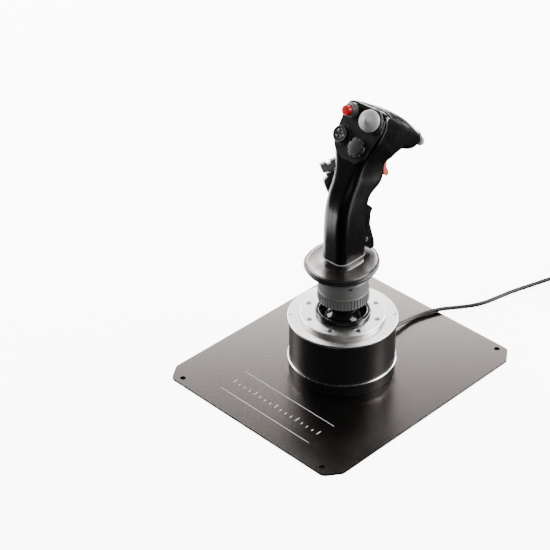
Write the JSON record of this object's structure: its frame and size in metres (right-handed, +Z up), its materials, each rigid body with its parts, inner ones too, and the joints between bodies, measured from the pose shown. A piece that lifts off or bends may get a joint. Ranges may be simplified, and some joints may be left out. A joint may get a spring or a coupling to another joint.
{
  "type": "desk flight joystick",
  "caption": "Flight joystick: contoured hand grip with hats, buttons, trigger and hand rest on a two-axis gimbal in a round base on a flat metal plate, with cable.",
  "frame": {"origin": "middle of the plate's underside, on the stick's upright axis", "axes": "+Z up, +Y away from the pilot, +X to the pilot's right"},
  "size_m": [0.2877, 0.4885, 0.302],
  "materials": {
    "plate_metal": "satin anodised warm dark grey",
    "screw_steel": "zinc plated, brushed",
    "housing_black": "satin black",
    "silver_turned": "turned, circular brushing",
    "trim_silver": "polished edge",
    "cup_black": "glossy black",
    "steel": "ground steel",
    "alloy": "machined",
    "spring_steel": "drawn wire",
    "board_green": "solder-masked board",
    "magnet": "nickel plated",
    "ring_grey": "fine matt, dark grey",
    "rest_grey": "satin grey",
    "grip_black": "satin black with a soft sheen",
    "face_black": "semi-gloss black",
    "button_red": "red moulded plastic",
    "collar_grey": "dark grey",
    "hat_grey": "pale grey",
    "hat_dark": "dark grey",
    "trigger_orange": "orange-red",
    "cable_black": "soft black sheath",
    "plug_black": "moulded black",
    "plug_metal": "nickel plated shell"
  },
  "bodies": {
    "base": {"base_plate": "plate_metal", "plate_screws": "screw_steel", "base_bottom": "housing_black", "trim_ring": "trim_silver", "base_housing": "housing_black", "top_flange": "silver_turned", "retaining_disc": "silver_turned", "disc_screws": "screw_steel", "boot_cup": "cup_black", "gimbal_blocks": "alloy", "frame_pins": "steel", "sensor_board": "board_green", "spring_plate": "alloy", "hall_sensor": "plug_black", "cable_gland": "plug_black", "cable": "cable_black", "cable_coil": "cable_black", "cable_tail": "cable_black", "usb_plug_body": "plug_black", "usb_plug_shell": "plug_metal"},
    "gimbal": {"gimbal_ring": "alloy", "ring_pins": "steel"},
    "stick": {"stick_hub": "alloy", "stick_shaft": "alloy", "grip_socket": "plug_black", "dust_dome": "cup_black", "magnet_holder": "alloy", "sensor_magnet": "magnet", "centring_spring": "spring_steel", "grip_collar": "rest_grey", "grip_plug": "plug_black", "hand_rest": "rest_grey", "grip_left_shell": "grip_black", "grip_right_shell": "grip_black", "face_panel": "face_black", "grip_screws": "screw_steel", "grip_board": "board_green", "switch_carrier": "plug_black", "red_button_collar": "collar_grey", "tip_button_collar": "trim_silver", "trim_hat_collar": "face_black", "thumb_hat_housing": "face_black", "thumb_hat_base": "face_black", "trigger_pin": "steel", "lever_pin": "steel"},
    "lock_ring": {"locking_ring": "ring_grey"},
    "red_button": {"red_button": "button_red"},
    "tip_button": {"tip_button": "hat_grey"},
    "trigger": {"trigger": "trigger_orange"},
    "pinky_lever": {"pinky_lever": "grip_black"},
    "trim_cross": {"trim_hat_cross": "steel"},
    "trim_hat": {"trim_hat": "hat_grey"},
    "round_cross": {"round_hat_cross": "steel"},
    "round_hat": {"round_hat": "hat_dark"},
    "castle_cross": {"castle_hat_cross": "steel"},
    "castle_hat": {"castle_hat": "hat_dark"},
    "thumb_cross": {"thumb_hat_cross": "steel"},
    "thumb_hat": {"thumb_hat": "collar_grey"}
  },
  "joints": [
    {"name": "stick_pitch", "type": "hinge", "parent": "base", "child": "gimbal", "pos_m": [0, 0, 0.05], "axis": [1, 0, 0], "range_deg": [-18, 18], "stiffness_Nm_per_rad": 9},
    {"name": "stick_roll", "type": "hinge", "parent": "gimbal", "child": "stick", "pos_m": [0, 0, 0.05], "axis": [0, 1, 0], "range_deg": [-18, 18], "stiffness_Nm_per_rad": 9, "deforming": ["centring_spring"]},
    {"name": "lock_ring_turn", "type": "hinge", "parent": "stick", "child": "lock_ring", "pos_m": [0, 0, 0.1], "axis": [0, 0, 1], "range_deg": [0, 360]},
    {"name": "red_button_press", "type": "slide", "parent": "stick", "child": "red_button", "axis": [0.0503, 0.9552, -0.2916], "range_m": [0, 0.0025], "stiffness_N_per_m": 900},
    {"name": "tip_button_press", "type": "slide", "parent": "stick", "child": "tip_button", "axis": [0, -0.7525, 0.6586], "range_m": [0, 0.002], "stiffness_N_per_m": 900},
    {"name": "trigger_pull", "type": "hinge", "parent": "stick", "child": "trigger", "pos_m": [0, 0.0445, 0.239], "axis": [-1, 0, 0], "range_deg": [0, 12], "stiffness_Nm_per_rad": 0.4},
    {"name": "pinky_lever_pull", "type": "hinge", "parent": "stick", "child": "pinky_lever", "pos_m": [0, 0.0255, 0.1495], "axis": [1, 0, 0], "range_deg": [0, 7], "stiffness_Nm_per_rad": 0.6},
    {"name": "trim_hat_up_down", "type": "hinge", "parent": "stick", "child": "trim_cross", "pos_m": [0.01077, 0.02894, 0.28456], "axis": [0.9819, 0.1631, -0.0959], "range_deg": [-6, 6], "stiffness_Nm_per_rad": 0.05},
    {"name": "trim_hat_left_right", "type": "hinge", "parent": "trim_cross", "child": "trim_hat", "pos_m": [0.01077, 0.02894, 0.28456], "axis": [0, 0.507, 0.8619], "range_deg": [-6, 6], "stiffness_Nm_per_rad": 0.05},
    {"name": "round_hat_up_down", "type": "hinge", "parent": "stick", "child": "round_cross", "pos_m": [-0.0168, 0.01741, 0.26417], "axis": [1, 0, 0], "range_deg": [-6, 6], "stiffness_Nm_per_rad": 0.05},
    {"name": "round_hat_left_right", "type": "hinge", "parent": "round_cross", "child": "round_hat", "pos_m": [-0.0168, 0.01741, 0.26417], "axis": [0, 0.4962, 0.8682], "range_deg": [-6, 6], "stiffness_Nm_per_rad": 0.05},
    {"name": "castle_hat_up_down", "type": "hinge", "parent": "stick", "child": "castle_cross", "pos_m": [0.0066, 0.01463, 0.25931], "axis": [1, 0, 0], "range_deg": [-6, 6], "stiffness_Nm_per_rad": 0.05},
    {"name": "castle_hat_left_right", "type": "hinge", "parent": "castle_cross", "child": "castle_hat", "pos_m": [0.0066, 0.01463, 0.25931], "axis": [0, 0.4962, 0.8682], "range_deg": [-6, 6], "stiffness_Nm_per_rad": 0.05},
    {"name": "thumb_hat_up_down", "type": "hinge", "parent": "stick", "child": "thumb_cross", "pos_m": [-0.02224, 0.00848, 0.21584], "axis": [0.4909, 0.8106, 0.3194], "range_deg": [-6, 6], "stiffness_Nm_per_rad": 0.05},
    {"name": "thumb_hat_left_right", "type": "hinge", "parent": "thumb_cross", "child": "thumb_hat", "pos_m": [-0.02224, 0.00848, 0.21584], "axis": [-0.7065, 0.5848, -0.3986], "range_deg": [-6, 6], "stiffness_Nm_per_rad": 0.05}
  ]
}
